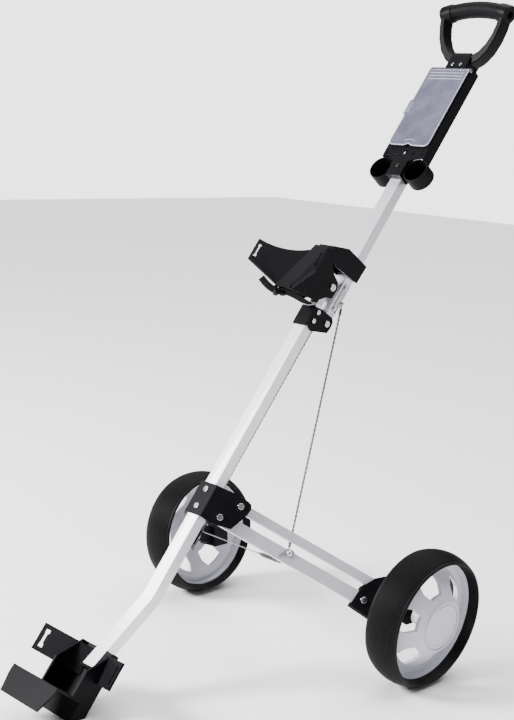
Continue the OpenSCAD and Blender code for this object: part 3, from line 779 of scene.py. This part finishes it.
for side, sign in (("right", 1), ("left", -1)):
    foot = stud_point(sign)
    top = Vector((sign * EYE[0], EYE[1], EYE[2]))
    run = (top - foot).normalized()
    start, end = foot + run * 13, top - run * 9
    v1 = rope(line(start, end, 1.2), 2, 1.0, 1.15, 17)
    # a ferrule at each end, an eye round the stud and a hook through the upper eye
    ferrule_low = tube_along(line(start - run * 1, start + run * 9, 2), FERRULE_R, 16)
    ferrule_top = tube_along(line(end - run * 9, end + run * 1, 2), FERRULE_R, 16)
    across = run.cross(Vector((0, 1, 0))).normalized()
    eye = [foot + run * 13]
    for i in range(0, 19):
        a = math.radians(-70 + i * (320 / 18))
        eye.append(foot + 4.4 * (run * math.cos(a) - across * math.sin(a)))
    eye.append(foot + run * 13)
    v2 = tube_along(smooth_path(eye, 2), 0.8, 10)
    hook = [end, end + run * 5, top + run * 0.5 + Vector((sign * 1.2, 0, 0)),
            top + Vector((sign * 0.8, 0, 4.4)), top + Vector((-sign * 0.6, 0, 5.2))]
    v3 = tube_along(smooth_path(hook, 5), 0.85, 10)
    v, f = join(v1, ferrule_low, ferrule_top, v2, v3)
    piece("pull_wire_" + side + "_twisted", v, f, "wire_" + side, "wire", SHAFT,
          ["pull_wire_" + side], angle=60, weighted=False)



def clip(side):
    """Bent clip on the near face of a lower bar, under the wire stud's head."""
    plate = [(-6.5, -6.5), (5.5, -6.5), (7, -4), (7, 4), (4, 6.5), (-3, 6.5), (-7, 3.5),
             (-12, -5), (-16, -12.4), (-13, -14.4), (-8.5, -8)]
    v1 = slab([(STUD_E + e, STUD_S + s) for e, s in plate], -1.3, 0.4)
    ring = [(2.6, -3.4), (3.2, -3.0), (4.6, -2.4), (5.2, -1.6), (5.2, -0.6), (0.01, -0.6),
            (0.01, -2.6), (1.8, -2.6)]
    verts, faces = lathe(ring, 32)
    v2 = ([(STUD_E + y, x, STUD_S + z) for x, y, z in verts], faces)
    return join(v1, v2)


for side, sign in (("right", 1), ("left", -1)):
    v, f = clip(sign)
    piece("wire_clip_" + side, v, f, "lower_leg_" + side, "link", leg_matrix(sign),
          angle=35)

right_foot, left_foot = stud_point(1), stud_point(-1)


TIE_S = 160
SPRING = (50, 94)


def tie():
    """Tie wire, hooked over both studs, with a coil spring near the right stud."""
    y, z = right_foot.y, TIE_S
    start, end = SPRING
    turns, per = 17, 16
    steps = turns * per
    coil = []
    for i in range(steps + 1):
        a = 2 * math.pi * i / per
        x = start + 4 + (end - start - 8) * i / steps
        coil.append((x, y + 2.9 * math.cos(a), z + 2.9 * math.sin(a)))
    lead_in = [(start - 3, y, z), (start + 1, y, z), (start + 2.6, y + 1.6, z)]
    lead_out = [(end - 2.6, y + 1.6, z), (end - 1, y, z), (end + 2, y, z + 2)]
    parts = [tube_along(lead_in + coil + lead_out, 0.7, 8)]
    # wire from the left stud to the spring, dropping from the stud to its line
    left = left_foot.x
    wire = [(left - 3.4, y, 176), (left - 1.5, y, 179.6), (left + 2.4, y, 179.2),
            (left + 3.9, y, 175), (left + 4.2, y, 168), (left + 6, y, 162), (left + 12, y, z),
            (left + 40, y, z), (0, y, z), (start - 12, y, z), (start - 1, y, z),
            (start + 1.2, y, z - 1.6), (start + 0.4, y, z + 1.4), (start - 4, y, z + 1.2)]
    parts.append(tube_along(smooth_path(wire, 5), 0.95, 10))
    # small hook plate from the spring up to the right stud
    right = right_foot.x
    plate = [(end - 1, z - 2.6), (end + 4, z - 3.4), (right + 2.5, 169.5), (right + 4.4, 174),
             (right + 3.6, 179), (right, 180.6), (right - 3.6, 179), (right - 4.6, 175),
             (end - 0.5, z + 3)]
    n = len(plate)
    verts = [(x, y - 0.9, s) for x, s in plate] + [(x, y + 0.9, s) for x, s in plate]
    faces = [tuple(range(n)), tuple(range(2 * n - 1, n - 1, -1))]
    faces += [(k, (k + 1) % n, (k + 1) % n + n, k + n) for k in range(n)]
    parts.append((verts, faces))
    return join(*parts)


v, f = tie()
tie_piece = piece("tie_wire_sprung", v, f, "tie", "wire", SHAFT,
                  ["tie_wire", "tie_spring"], angle=60, weighted=False)
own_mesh(tie_piece)

# ---- bag strap ----

STRAP_ROUTE = [(2, -13.5, 573), (0, -28, 569), (-5, -52, 565.5), (-10, -70, 560),
               (-15, -86, 551), (-21, -102, 550), (-27, -118, 554)]
STRAP_WIDTH, STRAP_THICK = 12, 1.7
# the strap lies flat at its root, and is on edge from half way along
flat_across, edge_across = Vector((1, -0.1, 0.2)), Vector((0.5, -0.1, 0.95))
pts = smooth_path(STRAP_ROUTE, 8)
across = [flat_across.lerp(edge_across, min(1, 2 * i / (len(pts) - 1)))
          for i in range(len(pts))]
v, f = ribbon(pts, across, STRAP_WIDTH, STRAP_THICK)
piece("bag_strap_webbing", v, f, "lower_frame", "strap", SHAFT,
              ["bag_strap"], angle=60, weighted=False)

STRAP_TURN = Matrix.Rotation(math.radians(-17), 3, "Z") @ Matrix.Rotation(math.radians(29), 3, "X")


def oval(half_u, half_v, corner, steps=6):
    """A rounded rectangle, as (u, v)."""
    out = []
    for cu, cv, start in ((1, 1, 0), (-1, 1, 90), (-1, -1, 180), (1, -1, 270)):
        for i in range(steps + 1):
            a = math.radians(start + 90 * i / steps)
            out.append((cu * (half_u - corner) + corner * math.cos(a),
                        cv * (half_v - corner) + corner * math.sin(a)))
    return out


def buckle():
    """A side-release buckle: two halves with prongs between them, as (x, y, z)."""
    parts = []
    for centre, half_v, half_u, thick in ((-7.2, 4.6, 8.6, 3.6), (6.2, 5.6, 8.0, 3.2)):
        outline = oval(half_u, half_v, 2.4)
        n = len(outline)
        rings = []
        for z, shrink in ((-thick, 0.9), (-thick + 0.9, 1.0), (thick - 0.9, 1.0), (thick, 0.9)):
            rings.append([(u * shrink, centre + v * shrink, z) for u, v in outline])
        verts = [p for ring in rings for p in ring]
        faces = [tuple(range(n - 1, -1, -1)), tuple(3 * n + k for k in range(n))]
        for i in range(3):
            faces += [(i * n + k, i * n + (k + 1) % n, (i + 1) * n + (k + 1) % n,
                       (i + 1) * n + k) for k in range(n)]
        parts.append((verts, faces))
    for u in (-5.4, 0, 5.4):
        parts.append(tube_along(line((u, -4, 0), (u, 4, 0), 2), 1.5, 10))
    return join(*parts)


v, f = buckle()
BUCKLE_ROLL = Matrix.Rotation(math.radians(62), 3, "Y")
BUCKLE_CENTRE = Vector((-13, -79.5, 554))
v = [tuple(BUCKLE_CENTRE + STRAP_TURN @ (BUCKLE_ROLL @ Vector(p))) for p in v]
piece("strap_buckle_moulded", v, f, "lower_frame", "buckle", SHAFT, ["strap_buckle"],
      angle=40)

# ---- floor, light and camera ----


FLOOR_HALF = 9


def stage_floor():
    mesh = bpy.data.meshes.new("floor")
    s = FLOOR_HALF
    mesh.from_pydata([(-s, -s, 0), (s, -s, 0), (s, s, 0), (-s, s, 0)], [], [(0, 1, 2, 3)])
    obj = bpy.data.objects.new("floor", mesh)
    bpy.context.scene.collection.objects.link(obj)
    n = Nodes("floor_paper")
    fine = n.noise(n.mapped(), 40, 3)
    mesh.materials.append(n.set(colour=n.colours(fine, (0.93, 0.93, 0.93), (0.95, 0.95, 0.95)),
                                rough=0.9, specular=0.2))
    obj.location.z = -0.0005


stage_floor()
world = bpy.data.worlds.new("studio")
bpy.context.scene.world = world
world.use_nodes = True
WORLD_LIGHT, WORLD_SEEN = 0.24, 3.2
tree = world.node_tree
ambient = tree.nodes["Background"]
ambient.inputs["Color"].default_value = (0.96, 0.97, 1, 1)
ambient.inputs["Strength"].default_value = WORLD_LIGHT
backdrop = tree.nodes.new("ShaderNodeBackground")
backdrop.inputs["Color"].default_value = (1, 1, 1, 1)
backdrop.inputs["Strength"].default_value = WORLD_SEEN
light_path = tree.nodes.new("ShaderNodeLightPath")
seen = tree.nodes.new("ShaderNodeMixShader")
tree.links.new(light_path.outputs["Is Camera Ray"], seen.inputs["Fac"])
tree.links.new(ambient.outputs["Background"], seen.inputs[1])
tree.links.new(backdrop.outputs["Background"], seen.inputs[2])
tree.links.new(seen.outputs["Shader"], tree.nodes["World Output"].inputs["Surface"])


def area(name, location, target, size, power):
    """A square lamp of a size in metres and a power in watts, aimed at the target."""
    data = bpy.data.lights.new(name, "AREA")
    data.energy = power
    data.size = size
    obj = bpy.data.objects.new(name, data)
    obj.location = location
    obj.rotation_euler = (Vector(target) - Vector(location)).to_track_quat("-Z", "Y").to_euler()
    bpy.context.scene.collection.objects.link(obj)


area("key", (-1.9, -2.9, 2.3), (0, 0, 0.5), 1.2, 460)
area("fill", (2.8, -0.6, 1.5), (0, 0, 0.5), 1.0, 5)

top_data = bpy.data.lights.new("top", "SUN")
top_data.energy = 5.0
top_data.angle = math.radians(70)
top = bpy.data.objects.new("top", top_data)
top.rotation_euler = (math.radians(-14), math.radians(-6), 0)
bpy.context.scene.collection.objects.link(top)

camera_data = bpy.data.cameras.new("camera")
camera_data.sensor_width = 36
camera_data.lens = 65.81
camera = bpy.data.objects.new("camera", camera_data)
bpy.context.scene.collection.objects.link(camera)
right = Vector((0.69529, 0.71688, 0.05150))
camera_up = Vector((-0.16829, 0.09272, 0.98137))
forward = Vector((-0.69875, 0.69100, -0.18512))
# the camera stands off from the axle, at the photograph's viewing angle
CAMERA_X, CAMERA_FORE, CAMERA_RISE = 1.5534, 1.6801, 0.8164
axle_line, axle_height = joints["wheel_spin_right"]["pos_m"][1:]
camera.matrix_world = columns(right, camera_up, -forward,
                              Vector((CAMERA_X, axle_line - CAMERA_FORE,
                                      axle_height + CAMERA_RISE)))
bpy.context.scene.camera = camera

bpy.context.view_layer.update()
